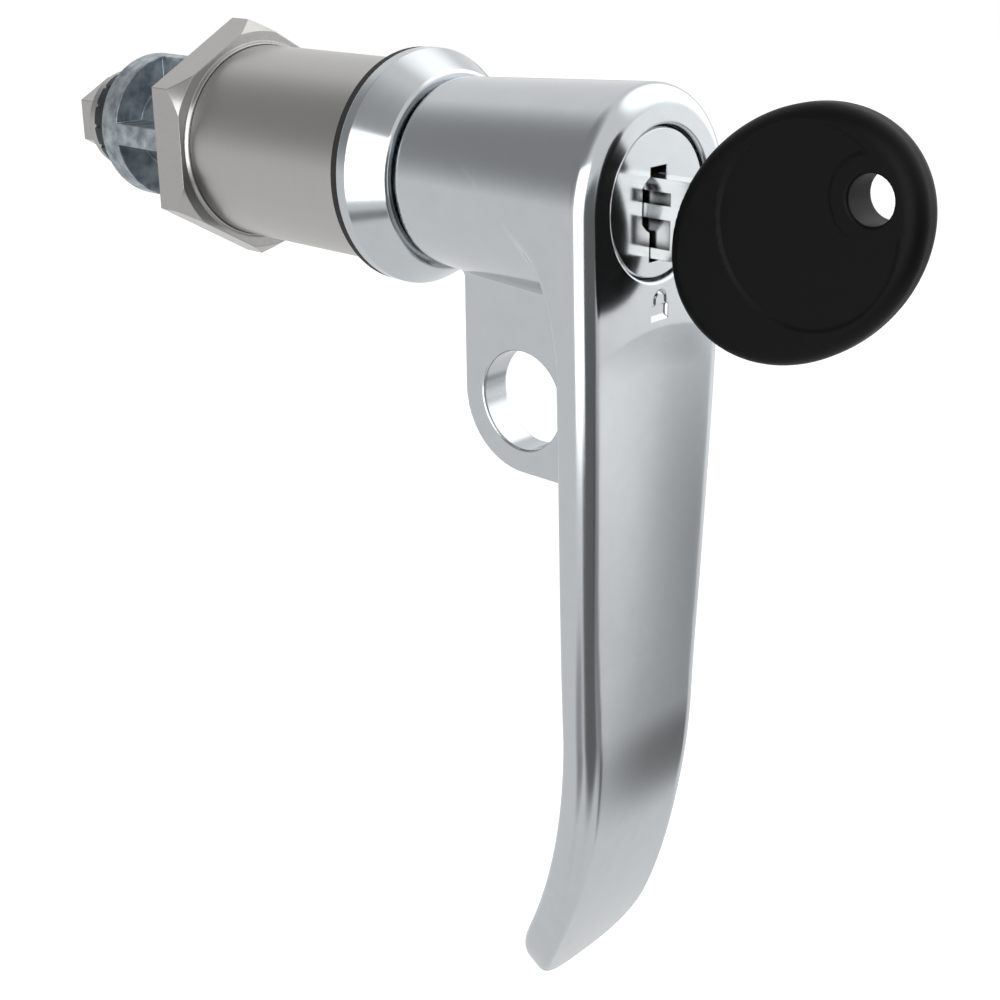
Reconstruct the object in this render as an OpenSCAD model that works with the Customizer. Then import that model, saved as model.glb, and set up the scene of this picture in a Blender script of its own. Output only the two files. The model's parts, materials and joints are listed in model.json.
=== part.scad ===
// Quarter-turn latch with a locking L-handle, for a cabinet door.
// Millimetres, +Z up, -Y in front of the door, +Y behind it.
// The origin is where the turning axis meets the door's front surface.

/* [Housing] */
// Outside diameter of the sleeve, which fills the hole in the door
sleeve_d = 22; // [20:0.5:25]
// Distance from the door's surface to the sleeve's rear end
sleeve_depth = 31.2; // [30:0.2:42]
// Wall of the sleeve round its front bearing
sleeve_wall = 1.4; // [1.2:0.1:1.8]
// How far the flange reaches past the sleeve
flange_overhang = 1.5; // [1:0.1:4]
// How far the flange stands out from the door
flange_depth = 6; // [5.6:0.1:8]
// Length of the flange's straight rim
flange_rim = 1.2; // [0.8:0.1:2.5]
// Radial width of the flange's bevel
flange_bevel = 2.3; // [1.5:0.1:2.6]
// Thickness of the gasket
gasket_t = 0.9; // [0.4:0.1:2]
// Wall of the nut at the middle of its flats
nut_wall = 0.95; // [0.8:0.05:4]
// Thickness of the nut
nut_t = 4.6; // [3:0.1:6]
// Distance from the nut's rear face to the sleeve's rear end
nut_set_back = 0.75; // [0.4:0.05:3]
// Length of the chamfer that takes off the nut's front corners
nut_chamfer = 1.8; // [0.8:0.1:2.4]

/* [Bearings and stop] */
// Wall of the front bush
bush_wall = 1.1; // [0.8:0.1:1.4]
// Length of the front bush
front_bush_len = 11.4; // [10.4:0.2:12.4]
// Length of the rear bush
rear_bush_len = 9; // [6:0.5:12]
// Wall of the rear bush
rear_bush_wall = 1.9; // [1.2:0.1:2.4]
// Length of the keeper ring that takes the bolt
keeper_len = 4.8; // [4.4:0.1:5.4]
// Diameter of the stop pin
stop_pin_d = 2; // [1.6:0.1:2.4]
// Quarter turn of the handle, in degrees
turn = 90; // [60:5:90]
// Thickness of the O-ring
o_ring_d = 1.6; // [1.4:0.05:1.7]
// Thickness of the thrust washer
thrust_t = 0.4; // [0.3:0.05:0.8]

/* [Handle] */
// Distance from the door's surface to the handle's front face
head_depth = 33.05; // [31:0.05:40]
// Step from the spigot up to the barrel
barrel_shoulder = 1.47; // [1.2:0.05:2]
// Growth of the barrel's radius towards the front, per millimetre
draft = 0.0575; // [0.02:0.0025:0.08]
// Rounding of the front edges
edge_r = 2.1; // [1:0.1:2.4]
// Height of the straight grip, from the axis to the start of its bend
grip_straight = 55.4; // [50:0.2:75]
// Radius of the bend in the grip's tail
bend_r = 70; // [55:1:110]
// Length of the bent tail along its front
tail_len = 36.5; // [28:0.5:45]
// Half width of the grip at the start of its bend
grip_half_w = 9.7; // [8.5:0.1:10.4]
// Half width of the grip at its tail
tail_half_w = 8.1; // [6:0.1:9]
// Thickness of the grip below the head
grip_t = 4.5; // [3.6:0.1:6]
// Thickness of the tail
tail_t = 4.7; // [3.6:0.1:6]
// Radius of the hollow behind the grip, under the barrel
hollow_r = 24; // [20:1:30]
// Height from the axis down to the end of that hollow
hollow_end = 16; // [14:0.5:18]
// Depth of the thumb recess in the front of the grip
recess_depth = 1.2; // [0.4:0.1:1.6]
// Length of the scoop at the top of the recess
scoop_len = 5; // [4:0.5:8]
// Height from the axis down to the arched top of the recess
recess_top = 12.2; // [11.5:0.1:16]
// Length over which the recess runs out
recess_len = 62; // [40:1:70]

/* [Padlock eye] */
// Diameter of the eye
eye_d = 10.74; // [6:0.1:12]
// Wall round the eye
eye_wall = 2.73; // [2:0.1:4]
// Thickness of the web that carries the eye
eye_t = 3.66; // [3:0.1:5]
// Depth of the eye's centre below the axis
eye_drop = 22.8; // [21:0.2:26]
// Distance from the barrel's rear end to the web's rear edge
eye_set_back = 2; // [1:0.1:3]

/* [Lock] */
// Wall of the casting round the lock, at the barrel's rear end
lock_wall = 2.07; // [1.6:0.01:2.4]
// Length of the lock barrel
lock_len = 19.85; // [19:0.05:22]
// Wall of the lock barrel
lock_barrel_wall = 1.5; // [1.3:0.05:1.7]
// Width of the lock barrel's front rim
lock_rim = 0.3; // [0.3:0.05:0.8]
// Depth of that rim behind the handle's front face
lock_rim_sink = 1; // [0.1:0.1:1.2]
// Thickness of the plug's face
plug_face_t = 1.2; // [0.8:0.1:1.6]
// Diameter of the round mouth of the keyway
mouth_d = 5.9; // [4.4:0.1:6]
// Depth of that mouth
mouth_depth = 0.9; // [0.4:0.1:1.1]
// Number of wafers
wafer_count = 5; // [3:1:5]
// Thickness of a wafer
wafer_t = 0.8; // [0.6:0.05:1]
// Distance from wafer to wafer
wafer_pitch = 2.4; // [2.1:0.1:2.6]
// Width of a wafer
wafer_w = 5.2; // [4.6:0.1:5.6]
// Throw of the lock bolt
bolt_throw = 1.2; // [0.9:0.05:1.3]
// Thickness of the lock bolt
bolt_t = 2.8; // [2.2:0.1:3]
// Width of the lock bolt
bolt_w = 6.4; // [5.6:0.1:7]
// Diameter of the eccentric pin
eccentric_d = 2; // [1.6:0.1:2.2]
// Diameter of the tail shaft
tail_d = 6; // [5:0.1:6.6]

/* [Key] */
// Thickness of the blade
blade_t = 2.3; // [1.8:0.1:2.6]
// Height of the blade
blade_h = 7.77; // [6.4:0.01:8]
// Distance from the plug's underside up to the blade's lower edge
blade_margin = 1.07; // [0.9:0.01:1.3]
// Depth of the blade's side grooves
blade_groove = 0.45; // [0.2:0.05:0.5]
// Length of the blade inside the lock
blade_len = 17.5; // [15:0.5:18]
// Length of the bow's long axis
bow_l = 28.45; // [26:0.05:36]
// Length of the bow's short axis
bow_w = 22.05; // [20:0.05:26]
// Thickness of the bow
bow_t = 4.15; // [3.6:0.05:5]
// Tilt of the bow's long axis, front end up, in degrees
bow_tilt = 36; // [0:1:40]
// Gap between the bow and the lock's face
bow_gap = 2.45; // [1:0.05:4]
// Diameter of the hole for a key ring
ring_hole_d = 4.52; // [3:0.02:5]
// Distance from that hole's centre to the bow's end
ring_hole_edge = 4.69; // [4:0.01:7]
// Angle from the bow's centre up to that hole, in degrees
ring_hole_tilt = 29; // [0:1:40]
// Depth of the bow's sunk middle
bow_sink = 0.2; // [0.1:0.05:0.6]

/* [Spindle and driver] */
// Diameter of the spindle
spindle_d = 12; // [11.6:0.1:13]
// Diameter of the spindle's front tenon
tenon_d = 10; // [9:0.1:10.4]
// Diameter of the cross pin
cross_pin_d = 2; // [1.6:0.1:2.4]
// Width of the spindle's square end
square_w = 8; // [7:0.1:8.1]
// Outside diameter of the driver
driver_d = 17.4; // [16.6:0.1:20]
// Length of the driver's body
driver_len = 14.1; // [12:0.1:18]
// Thickness of the driver's solid rear disc
driver_disc = 3; // [2:0.1:4]
// Thickness of the driver's front disc
driver_front = 2; // [1.5:0.1:3]
// Diameter of the hub between the ribs
hub_d = 10.36; // [9.6:0.1:13]
// Width of a rib
rib_w = 2.6; // [2:0.1:4]
// Width of the square seat for the cam
cam_square = 7; // [6.4:0.1:7.2]
// Thickness of the cam that the seat takes
cam_t = 3.6; // [2.5:0.1:5]
// Diameter of the spacer
spacer_d = 13.1; // [12.4:0.1:15]
// Thickness of the toothed lock washer
lock_washer_t = 1.2; // [0.8:0.1:1.6]
// Number of teeth on the lock washer
washer_teeth = 16; // [10:1:24]
// Diameter of the flat washer
washer_d = 12.35; // [11:0.05:15]
// Thickness of the flat washer
washer_t = 1.6; // [0.8:0.1:2.4]
// Width across the flats of the screw's head
screw_af = 8.6; // [7:0.1:10]
// Height of the screw's head
screw_head = 4.4; // [3:0.1:6]
// Diameter of the screw's shank
screw_d = 4.9; // [4:0.1:5.4]
// Length of the screw's shank
screw_len = 17; // [15:0.5:19]

/* [Hidden] */
$fn = 96;
// Overlap of a cut past the face that it starts from
cut = 0.5;
// Radial clearances: still fit, running fit, loose fit, free gap between moving pieces
still = 0.05;
run = 0.05;
loose = 0.1;
free = 0.3;
// Overlap that joins two shapes of one piece
join = 0.01;

// Radii from the door's hole inwards
sleeve_r = sleeve_d / 2;
bush_seat_r = sleeve_r - sleeve_wall;
bush_in_r = bush_seat_r - still - bush_wall;
spigot_r = bush_in_r - run;
barrel_r = spigot_r + barrel_shoulder;
lock_bore_r = barrel_r - lock_wall;
lock_r = lock_bore_r - still;
plug_bore_r = lock_r - lock_barrel_wall;
plug_r = plug_bore_r - run;
spindle_r = spindle_d / 2;
rear_bush_r = spindle_r + run + rear_bush_wall;
flange_r = sleeve_r + flange_overhang;
flange_bore_r = spigot_r + free;
lip_r = flange_r - flange_bevel;

// Stations along the axis, from the front to the rear
head_y = -head_depth;
lock_seat_y = head_y + lock_rim_sink + lock_len;
barrel_y = -flange_depth - free;
lip_t = 1.8;
bolt_y = 0.2;
bush_front_y = bolt_y + keeper_len / 2;
keeper_front_y = bush_front_y - keeper_len;
sleeve_front_y = -flange_depth + lip_t;
bush_rear_y = bush_front_y + front_bush_len;
spigot_end_y = bush_rear_y - 2 * free;
thrust_y = sleeve_depth;
driver_y = thrust_y + thrust_t + free;
driver_end_y = driver_y + driver_len;
spacer_end_y = driver_end_y + cam_t;
washer_y = spacer_end_y + lock_washer_t;
screw_y = washer_y + washer_t;
nut_rear_y = sleeve_depth - nut_set_back;

// Tail shaft with its clip, eccentric and O-ring
tail_room = 1.6;
tail_bore_r = tail_d / 2 + tail_room;
clip_y = lock_seat_y + loose;
clip_t = 0.9;
clip_w = 1.8;
clip_recess = 2.4;
clip_bite = 1;
clip_r = plug_r + clip_w - clip_bite;
tail_y = clip_y + clip_t + free;
eccentric_y = bolt_y - bolt_t / 2 - free;
o_ring_y = (sleeve_front_y + keeper_front_y) / 2;
o_ring_slack = 0.15;
o_ring_in_r = bush_seat_r - o_ring_slack - o_ring_d;

// Cross pin, stop pin and tenon
cross_pin_y = spigot_end_y - cross_pin_d - free;
stop_shift = 0.4;
stop_y = (bush_front_y + cross_pin_y) / 2 - stop_shift;
stop_bite = 1.1;
stop_in_r = spigot_r - stop_bite;
stop_margin = asin((stop_pin_d / 2 + free) / (stop_in_r - free));
tenon_wall = 2.9;
tenon_y = bolt_y + bolt_t / 2 + tenon_wall;

// Key and keyway
blade_low = -plug_r + blade_margin;
blade_top = blade_low + blade_h;
keyway_w = blade_t + 2 * loose;
keyway_room_low = 0.44;
keyway_room_top = 0.94;
keyway_low = blade_low - keyway_room_low;
keyway_top = blade_top + keyway_room_top;
face_sink = 0.45;
face_y = head_y + face_sink;
blade_tip_y = face_y + blade_len;
keyway_end_y = blade_tip_y + free;
wafer_start = 3;
wafer_y = face_y + plug_face_t + wafer_start;
wafer_room = 0.2;
bow_a = bow_l / 2;
bow_b = bow_w / 2;
bow_reach = sqrt(pow(bow_a * cos(bow_tilt), 2) + pow(bow_b * sin(bow_tilt), 2));
bow_y = face_y - bow_gap - bow_reach;
bow_lift = 0.24;
bow_z = (blade_low + blade_top) / 2 + bow_lift;
// The blade is moulded in to this share of the bow's reach
bow_hold = 0.35;
bow_root_y = bow_y + bow_reach * bow_hold;

// Colours
chrome = [0.78, 0.80, 0.82];
nickel = [0.66, 0.65, 0.63];
steel = [0.60, 0.61, 0.62];
zinc = [0.50, 0.54, 0.57];
bronze = [0.72, 0.56, 0.34];
dark = [0.17, 0.19, 0.20];
black = [0.08, 0.08, 0.08];
polymer = [0.88, 0.87, 0.82];

// Shapes along the turning axis

// Stands a shape that was drawn along +Z on the turning axis, from y rearwards
module axial(y) {
    translate([0, y, 0]) rotate([-90, 0, 0]) children();
}

// Round bar from one station to another
module bar(r, y0, y1) {
    axial(y0) cylinder(r = r, h = y1 - y0);
}

// Tube from one station to another
module tube(r_in, r_out, y0, y1) {
    difference() {
        bar(r_out, y0, y1);
        bar(r_in, y0 - cut, y1 + cut);
    }
}

// Turned shape: the outline holds pairs of radius and station
module turned(outline) {
    rotate([-90, 0, 0]) rotate_extrude() polygon(outline);
}

// Block given by its corners
module block(low, high) {
    translate(low) cube(high - low);
}

// Square bar on the axis
module square_bar(w, y0, y1) {
    block([-w / 2, y0, -w / 2], [w / 2, y1, w / 2]);
}

// Square drive of the spindle, with its corners towards the driver's ribs
module drive_bar(w, y0, y1) {
    rotate([0, 45, 0]) square_bar(w, y0, y1);
}

// Hexagonal bar on the axis with corners above and below
module hex_bar(af, y0, y1) {
    axial(y0) rotate(90) cylinder(r = af / 2 / cos(30), h = y1 - y0, $fn = 6);
}

// Bar across the axis, along X
module cross_bar(r, y, z, x0, x1) {
    translate([x0, y, z]) rotate([0, 90, 0]) cylinder(r = r, h = x1 - x0);
}

// Points of an arc, as angles in degrees
function arc(c, r, a0, a1, n) =
    [for (i = [0 : n]) c + r * [cos(a0 + (a1 - a0) * i / n), sin(a0 + (a1 - a0) * i / n)]];

// Mean of a list of points
function centre(ring, i = 0) = i == len(ring) - 1 ? ring[i] / len(ring)
    : ring[i] / len(ring) + centre(ring, i + 1);

// Skin over a stack of closed outlines that all have the same number of points.
// Each end is closed by a fan round its centre.
module loft(rings) {
    m = len(rings);
    n = len(rings[0]);
    last = (m - 1) * n;
    points = concat([for (ring = rings, p = ring) p], [centre(rings[0]), centre(rings[m - 1])]);
    sides = [for (i = [0 : m - 2], j = [0 : n - 1]) each
        let (a = i * n + j, b = i * n + (j + 1) % n) [[a, b, b + n], [a, b + n, a + n]]];
    ends = [for (j = [0 : n - 1]) each
        let (k = (j + 1) % n) [[k, j, m * n], [last + j, last + k, m * n + 1]]];
    polyhedron(points, concat(sides, ends), convexity = 6);
}

// Housing

module threaded_sleeve() {
    bush_step = 0.6;
    color(nickel) difference() {
        bar(sleeve_r, sleeve_front_y, sleeve_depth);
        bar(bush_seat_r, sleeve_front_y - cut, bush_rear_y);
        bar(rear_bush_r - bush_step, bush_rear_y - cut, sleeve_depth - rear_bush_len + cut);
        bar(rear_bush_r + still, sleeve_depth - rear_bush_len, sleeve_depth + cut);
        cross_bar(stop_pin_d / 2 + still, stop_y, 0, 0, sleeve_r + cut);
    }
}

module escutcheon_flange() {
    lip_round = 0.5;
    color(chrome) turned(concat(
        [[sleeve_r + still, -gasket_t], [flange_r, -gasket_t], [flange_r, -gasket_t - flange_rim]],
        arc([lip_r - loose, -flange_depth + lip_round], lip_round, -30, -90, 6),
        [[flange_bore_r, -flange_depth], [flange_bore_r, sleeve_front_y],
         [sleeve_r + still, sleeve_front_y]]));
}

module flange_gasket() {
    color(black) tube(sleeve_r + loose, flange_r - still, -gasket_t, 0);
}

// The chamfer takes off the corners only, so each flat keeps a straight front edge.
// A thin tapered collar stands round the bore.
module mounting_nut() {
    af = sleeve_d + 2 * nut_wall;
    corner_r = af / 2 / cos(30) + join;
    straight_share = 0.57;
    chamfer_r = af / 2 * sqrt(1 + pow(straight_share * tan(30), 2));
    bore_r = sleeve_r + still;
    collar_w = 0.35;
    collar_t = 0.4;
    collar_taper = 0.2;
    nut_front_y = nut_rear_y - nut_t;
    color(nickel) difference() {
        union() {
            intersection() {
                hex_bar(af, nut_front_y, nut_rear_y);
                turned([[0, nut_front_y], [chamfer_r, nut_front_y], [corner_r, nut_front_y + nut_chamfer],
                        [corner_r, nut_rear_y], [0, nut_rear_y]]);
            }
            turned([[0, nut_front_y - collar_t], [bore_r + collar_w - collar_taper, nut_front_y - collar_t],
                    [bore_r + collar_w, nut_front_y], [bore_r + collar_w, nut_rear_y], [0, nut_rear_y]]);
        }
        bar(bore_r, nut_front_y - cut, nut_rear_y + cut);
    }
}

// The bolt enters one notch with the handle down and the other after the quarter turn
module keeper_ring() {
    notch_half = bolt_w / 2 + free;
    color(steel) difference() {
        tube(spigot_r + run, bush_seat_r - still, keeper_front_y, bush_front_y);
        for (a = [0, turn]) rotate([0, a, 0])
            block([0, bolt_y - bolt_t / 2 - free, -notch_half],
                  [sleeve_r, bolt_y + bolt_t / 2 + free, notch_half]);
    }
}

module front_bush() {
    color(bronze) difference() {
        tube(bush_in_r, bush_seat_r - still, bush_front_y, bush_rear_y);
        cross_bar(stop_pin_d / 2 + still, stop_y, 0, 0, sleeve_r);
    }
}

module rear_bush() {
    color(bronze) tube(spindle_r + run, rear_bush_r, sleeve_depth - rear_bush_len, sleeve_depth);
}

module stop_pin() {
    color(steel) cross_bar(stop_pin_d / 2, stop_y, 0, stop_in_r, sleeve_r - 2 * loose);
}

module thrust_washer() {
    color(polymer) tube(spindle_r + free, rear_bush_r + 2 * free, thrust_y, thrust_y + thrust_t);
}

// Handle

// Front end of the conical barrel, with the rounded edge of the head
head_r = barrel_r + draft * (head_depth + barrel_y);

module barrel() {
    chamfer = 0.8; // rear edge
    turned(concat(
        [[0, barrel_y], [barrel_r - chamfer, barrel_y], [barrel_r, barrel_y - chamfer]],
        arc([head_r - edge_r, head_y + edge_r], edge_r, 0, -90, 8),
        [[0, head_y]]));
}

// Grip: sections are drawn across a line that runs down the front face and then bends
// rearwards. s is the distance along that line from the axis down.
lean = 0.0155;
lean_start = 14;
loft_inset = 0.08;
tip_cap = 8;
tip_power = 2.8;
grip_len = grip_straight + tail_len;
waist_t = grip_t - 0.6;
bend_y = head_y + lean * (grip_straight - lean_start);

function mix(a, b, t) = a + (b - a) * max(0, min(1, t));
function bend_angle(s) = max(0, s - grip_straight) / bend_r * 180 / PI;
function tail_share(s) = (s - grip_straight) / tail_len;

// Place of the point v behind the front line at s, as [y, z]
function grip_point(s, v) = let (a = bend_angle(s))
    s <= grip_straight
        ? [head_y + lean * max(0, s - lean_start) + v, -s]
        : [bend_y + bend_r * (1 - cos(a)) + v * cos(a), -grip_straight - bend_r * sin(a) + v * sin(a)];

// The end is drawn in as a rounded cap
function cap_share(s) = let (d = max(0, s - grip_len + tip_cap) / tip_cap)
    pow(max(0.004, 1 - pow(d, tip_power)), 1 / tip_power);
function half_width(s) = cap_share(s) * (s < grip_straight
    ? mix(head_r - loft_inset, grip_half_w, pow(s / grip_straight, 1.15))
    : mix(grip_half_w, tail_half_w, pow(tail_share(s), 1.2)));

// The rear face sweeps back into the barrel above hollow_end
function hollow(s) = s >= hollow_end ? 0
    : hollow_r - sqrt(pow(hollow_r, 2) - pow(hollow_end - s, 2));
function thickness(s) = hollow(s) + (s < grip_straight
    ? mix(grip_t, waist_t, s / grip_straight)
    : mix(waist_t, tail_t, tail_share(s)));

// The thumb recess starts at an arch. A share of its depth is scooped out at once, the rest
// follows over dish_len, and then it runs out down the grip.
arch_drop = 1.6;
scoop_share = 0.35;
dish_len = 25;
function dip(t) = 1 - pow(1 - max(0, min(1, t)), 2);
function scoop(d) = mix(dip(d / dish_len), dip(d / scoop_len), scoop_share);
function recess(s, u, half) = let (share = pow(u / half, 2))
    recess_depth * scoop(s - recess_top - arch_drop * share) * (1 - share)
    * mix(1, 0, (s - recess_top) / recess_len);

front_steps = 12;
rear_edge_r = 0.8;
function grip_section(s) =
    let (w = half_width(s), t = thickness(s))
    let (r = min(edge_r, 0.45 * w, 0.45 * t), rear_r = min(rear_edge_r, 0.3 * w, 0.3 * t))
    let (w_rear = w - draft * (t - r), half = w - r)
    let (front = [for (i = [0 : front_steps]) let (u = half * (2 * i / front_steps - 1))
        [u, recess(s, u, half)]])
    let (outline = concat(front,
        [for (a = [-67.5 : 22.5 : 0]) [half + r * cos(a), r + r * sin(a)]],
        [for (a = [0 : 45 : 90]) [w_rear - rear_r + rear_r * cos(a), t - rear_r + rear_r * sin(a)]],
        [for (a = [90 : 45 : 180]) [-w_rear + rear_r + rear_r * cos(a), t - rear_r + rear_r * sin(a)]],
        [for (a = [180 : 22.5 : 247.5]) [-half + r * cos(a), r + r * sin(a)]]))
    [for (p = outline) let (q = grip_point(s, p[1])) [p[0], q[0], q[1]]];

grip_stations = concat([0.4], [for (s = [2 : 2 : 10]) s], [for (s = [11 : 17]) s],
    [for (s = [20 : 5 : grip_straight - 3]) s],
    [for (i = [0 : 10]) grip_straight + (tail_len - tip_cap) * i / 10],
    [for (i = [1 : 6]) grip_len - tip_cap + tip_cap * sin(15 * i)]);

module grip() {
    loft([for (s = grip_stations) grip_section(s)]);
}

// Web under the barrel with the padlock eye's rounded end, cut from plate
eye_r = eye_d / 2;
eye_out_r = eye_r + eye_wall;
eye_y = barrel_y - eye_set_back - eye_out_r;
web_root = 1.5;
web_end_y = head_y + grip_t - web_root;

module eye_web() {
    web_top = barrel_r - 2; // reaches into the barrel
    overlap = 1;
    rotate([90, 0, 90]) linear_extrude(height = eye_t, center = true) {
        translate([eye_y, -eye_drop]) circle(r = eye_out_r);
        polygon([[eye_y + eye_out_r, -eye_drop], [eye_y + eye_out_r, -web_top],
                 [web_end_y, -web_top], [web_end_y, -eye_drop]]);
        polygon([[web_end_y, -eye_drop - eye_out_r], [eye_y, -eye_drop - eye_out_r],
                 [eye_y, -eye_drop + overlap], [web_end_y, -eye_drop + overlap]]);
    }
}

// Groove for the stop pin: it follows the pin round the quarter turn
module stop_groove() {
    floor_r = stop_in_r - free;
    w = stop_pin_d + 2 * free;
    translate([0, stop_y, 0]) rotate([90, 0, 0]) rotate(-stop_margin)
        rotate_extrude(angle = turn + 2 * stop_margin)
            translate([floor_r, -w / 2]) square([spigot_r - floor_r + cut, w]);
}

module handle() {
    groove_half = o_ring_d / 2 + loose;
    slot_half = bolt_w / 2 + still;
    color(chrome) difference() {
        union() {
            barrel();
            grip();
            eye_web();
            bar(spigot_r, barrel_y - cut, spigot_end_y);
        }
        bar(lock_bore_r, head_y - cut, lock_seat_y);
        bar(clip_r + free, lock_seat_y - cut, lock_seat_y + clip_recess);
        bar(tail_bore_r, lock_seat_y, tenon_y);
        bar(tenon_d / 2 + still, tenon_y - join, spigot_end_y + cut);
        tube(o_ring_in_r - still, sleeve_r, o_ring_y - groove_half, o_ring_y + groove_half);
        block([-bolt_back - free, bolt_y - bolt_t / 2 - still, -slot_half],
              [sleeve_r, bolt_y + bolt_t / 2 + still, slot_half]);
        stop_groove();
        cross_bar(cross_pin_d / 2 + still, cross_pin_y, 0, -sleeve_r, sleeve_r);
        cross_bar(eye_r, eye_y, -eye_drop, -eye_t, eye_t);
        block([-retainer_w / 2 - still, retainer_y - still, lock_r - 2],
              [retainer_w / 2 + still, retainer_y + retainer_t + still, retainer_top + still]);
    }
}

// Rear shaft

module spindle() {
    square_end_y = driver_end_y - driver_disc - cut;
    color(steel) difference() {
        union() {
            bar(tenon_d / 2, tenon_y + 2 * loose, spigot_end_y + join);
            bar(spindle_r, spigot_end_y, driver_y - free / 2);
            drive_bar(square_w, driver_y - cut, square_end_y);
        }
        cross_bar(cross_pin_d / 2 + still, cross_pin_y, 0, -sleeve_r, sleeve_r);
        bar(screw_d / 2 + still, screw_y - screw_len - free, square_end_y + cut);
    }
}

module spindle_pin() {
    color(steel) cross_bar(cross_pin_d / 2, cross_pin_y, 0, free - spigot_r, spigot_r - free);
}

module o_ring_seal() {
    color(black) axial(o_ring_y) rotate_extrude()
        translate([o_ring_in_r + o_ring_d / 2, 0]) circle(d = o_ring_d);
}

// Four ribs join the hub and two discs; the rear disc carries the square seat for the cam
module cam_driver() {
    r = driver_d / 2;
    disc_y = driver_end_y - driver_disc;
    color(zinc) difference() {
        union() {
            bar(r, driver_y, driver_y + driver_front);
            bar(r, disc_y, driver_end_y);
            bar(hub_d / 2, driver_y, driver_end_y);
            intersection() {
                bar(r, driver_y, driver_end_y);
                union() {
                    block([-r, driver_y, -rib_w / 2], [r, driver_end_y, rib_w / 2]);
                    block([-rib_w / 2, driver_y, -r], [rib_w / 2, driver_end_y, r]);
                }
            }
            square_bar(cam_square, driver_end_y - cut, spacer_end_y - free);
        }
        drive_bar(square_w + 2 * still, driver_y - cut, disc_y - free);
        bar(screw_d / 2 + free, disc_y - cut - free, spacer_end_y + cut);
    }
}

module cam_spacer() {
    corner_r = cam_square / sqrt(2);
    color(dark) tube(corner_r + loose, spacer_d / 2, driver_end_y, spacer_end_y);
}

module lock_washer() {
    notch_r = 0.22;
    color(dark) difference() {
        tube(screw_d / 2 + free, spacer_d / 2, spacer_end_y, washer_y);
        for (i = [1 : washer_teeth]) rotate([0, 360 * i / washer_teeth, 0])
            translate([spacer_d / 2, 0, 0]) bar(notch_r, spacer_end_y - cut, washer_y + cut);
    }
}

module flat_washer() {
    color(nickel) tube(screw_d / 2 + free, washer_d / 2, washer_y, screw_y);
}

module hex_screw() {
    color(nickel) union() {
        hex_bar(screw_af, screw_y, screw_y + screw_head);
        bar(screw_d / 2, screw_y - screw_len, screw_y + join);
    }
}

// Lock

retainer_w = 3;
retainer_t = 1.4;
retainer_y = lock_seat_y - 4;
retainer_low = plug_bore_r + 0.5;
retainer_top = lock_r + 0.9;

module lock_barrel() {
    groove_half = wafer_w / 2 + wafer_room;
    groove_r = plug_bore_r + 0.7; // room for the wafers' ends
    color(nickel) difference() {
        bar(lock_r, head_y + lock_rim_sink, lock_seat_y);
        bar(lock_r - lock_rim, head_y, face_y + plug_face_t + loose);
        bar(plug_bore_r, head_y, lock_seat_y + cut);
        intersection() {
            bar(groove_r, wafer_y - wafer_start / 2, retainer_y - 1);
            block([-groove_half, head_y, -lock_r], [groove_half, 0, lock_r]);
        }
        block([-retainer_w / 2 - still, retainer_y - still, retainer_low - loose],
              [retainer_w / 2 + still, retainer_y + retainer_t + still, lock_r + cut]);
    }
}

module barrel_retainer() {
    color(steel) block([-retainer_w / 2, retainer_y, retainer_low],
                       [retainer_w / 2, retainer_y + retainer_t, retainer_top]);
}

tongue_w = 4;
tongue_len = 2.4;
plug_end_y = clip_y + clip_t + 2 * loose;

module lock_plug() {
    disc_r = lock_r - lock_rim - loose;
    disc_chamfer = 0.25;
    color(chrome) difference() {
        union() {
            turned([[0, face_y], [disc_r - disc_chamfer, face_y], [disc_r, face_y + disc_chamfer],
                    [disc_r, face_y + plug_face_t], [0, face_y + plug_face_t]]);
            bar(plug_r, face_y + disc_chamfer, plug_end_y);
        }
        block([-keyway_w / 2, face_y - cut, keyway_low], [keyway_w / 2, keyway_end_y, keyway_top]);
        bar(mouth_d / 2, face_y - cut, face_y + mouth_depth);
        for (i = [0 : wafer_count - 1]) wafer_slot(wafer_y + i * wafer_pitch);
        tube(clip_r - clip_w - loose, sleeve_r, clip_y - still, clip_y + clip_t + still);
        square_bar(tongue_w + 2 * still, plug_end_y - tongue_len, plug_end_y + cut);
    }
}

module wafer_slot(y) {
    half = wafer_w / 2 + still;
    block([-half, y - still, -plug_r - cut], [half, y + wafer_t + still, plug_r + cut]);
}

// Wafers stand flush with the plug while the key is in
module tumbler_wafers() {
    window_half = keyway_w / 2 + loose;
    color(bronze) for (i = [0 : wafer_count - 1]) difference() {
        intersection() {
            bar(plug_r - loose, wafer_y + i * wafer_pitch, wafer_y + i * wafer_pitch + wafer_t);
            block([-wafer_w / 2, face_y, -plug_r], [wafer_w / 2, plug_end_y, plug_r]);
        }
        block([-window_half, face_y, blade_low - wafer_room],
              [window_half, plug_end_y, blade_top + wafer_room]);
    }
}

module plug_clip() {
    gap_half = 1.6;
    color(steel) difference() {
        tube(clip_r - clip_w, clip_r, clip_y, clip_y + clip_t);
        block([-gap_half, clip_y - cut, 0], [gap_half, clip_y + clip_t + cut, clip_r + cut]);
    }
}

// Tongue in the plug, round shaft, and the eccentric pin that carries the bolt
module tail_shaft() {
    color(steel) union() {
        square_bar(tongue_w, plug_end_y - tongue_len + still, tail_y + join);
        bar(tail_d / 2, tail_y, eccentric_y);
        translate([0, 0, bolt_throw]) bar(eccentric_d / 2, eccentric_y - cut, bolt_y + bolt_t / 2);
    }
}

// Bolt: its cross slot takes the eccentric, which runs ahead of it in mid turn
bolt_back = 3.4;

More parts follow.
